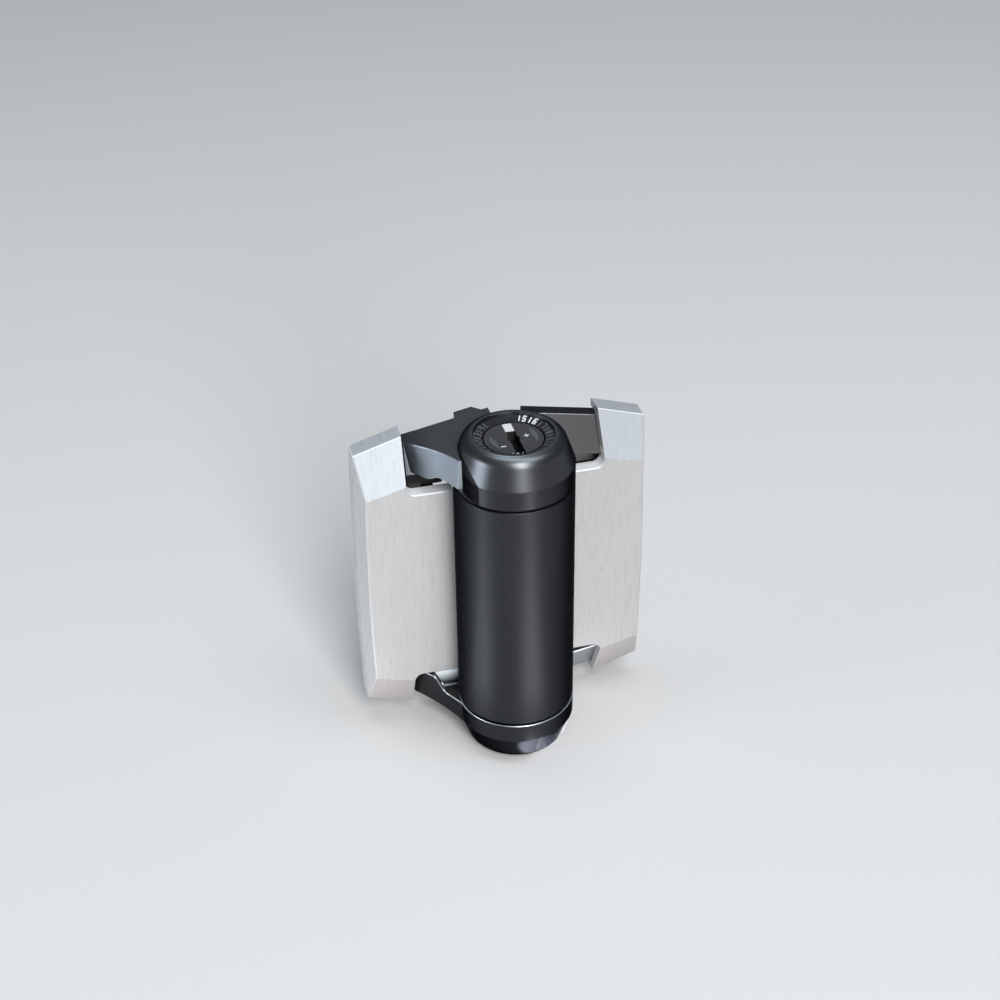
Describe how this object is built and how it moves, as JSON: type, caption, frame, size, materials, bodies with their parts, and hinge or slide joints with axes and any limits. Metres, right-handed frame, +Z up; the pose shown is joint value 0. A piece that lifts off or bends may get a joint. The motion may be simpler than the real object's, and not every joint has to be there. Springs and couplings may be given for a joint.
{
  "type": "self-closing gate hinge",
  "caption": "Self-closing gate hinge: a dark moulded barrel with a torsion spring and a tension dial between two leaves under brushed clip-on covers.",
  "frame": {"origin": "on the swing axis, at half the height of the barrel", "axes": "+Z up along the swing axis, +Y from the barrel towards the posts, +X along the closed gate from the post leaf to the gate leaf"},
  "size_m": [0.0808, 0.0379, 0.098],
  "materials": {
    "nylon": "fine grained black glass-filled nylon",
    "dial_plastic": "moulded black plastic",
    "white_mark": "white inlay",
    "brushed_cover": "vertically brushed stainless steel",
    "steel_plate": "plain stainless steel plate",
    "zinc_steel": "bright stainless steel",
    "spring_steel": "drawn spring steel wire",
    "holder_plastic": "dark moulded acetal",
    "bush_plastic": "natural acetal",
    "washer_plastic": "black acetal",
    "carrier_plastic": "moulded black plastic"
  },
  "bodies": {
    "post_side": {"post_leaf": "nylon", "post_backing_plate": "steel_plate", "post_plate_screws": "zinc_steel", "upper_knuckle_cap": "nylon", "upper_snap_ring": "spring_steel", "dial_ring": "dial_plastic", "click_spring": "spring_steel", "lower_knuckle_cap": "nylon", "lower_snap_ring": "spring_steel", "lower_plug": "dial_plastic", "pivot_pin": "zinc_steel", "pivot_pin_clip": "spring_steel"},
    "tension_adjuster": {"tension_dial": "dial_plastic", "dial_pointer": "white_mark", "ratchet_wheel": "holder_plastic", "spring_holder": "holder_plastic"},
    "gate_side": {"gate_leaf": "nylon", "upper_bush": "bush_plastic", "lower_bush": "bush_plastic", "upper_thrust_washer": "washer_plastic", "lower_thrust_washer": "washer_plastic", "spring_anchor": "holder_plastic", "torsion_spring": "spring_steel", "gate_backing_plate": "steel_plate", "gate_plate_screws": "zinc_steel"},
    "post_cover_unit": {"post_cover": "brushed_cover", "post_cover_carrier": "carrier_plastic"},
    "gate_cover_unit": {"gate_cover": "brushed_cover", "gate_cover_carrier": "carrier_plastic"}
  },
  "joints": [
    {"name": "gate_swing", "type": "hinge", "parent": "post_side", "child": "gate_side", "pos_m": [0, 0, 0], "axis": [0, 0, -1], "range_deg": [0, 180], "stiffness_Nm_per_rad": 0.6, "springref_deg": -68.75, "deforming": ["torsion_spring"]},
    {"name": "tension_turn", "type": "hinge", "parent": "post_side", "child": "tension_adjuster", "pos_m": [0, 0, 0], "axis": [0, 0, -1], "range_deg": [0, 330], "deforming": ["click_spring"]},
    {"name": "post_cover_off", "type": "slide", "parent": "post_side", "child": "post_cover_unit", "axis": [-1, 0, 0], "range_m": [0, 0.022]},
    {"name": "gate_cover_off", "type": "slide", "parent": "gate_side", "child": "gate_cover_unit", "axis": [1, 0, 0], "range_m": [0, 0.022]}
  ]
}
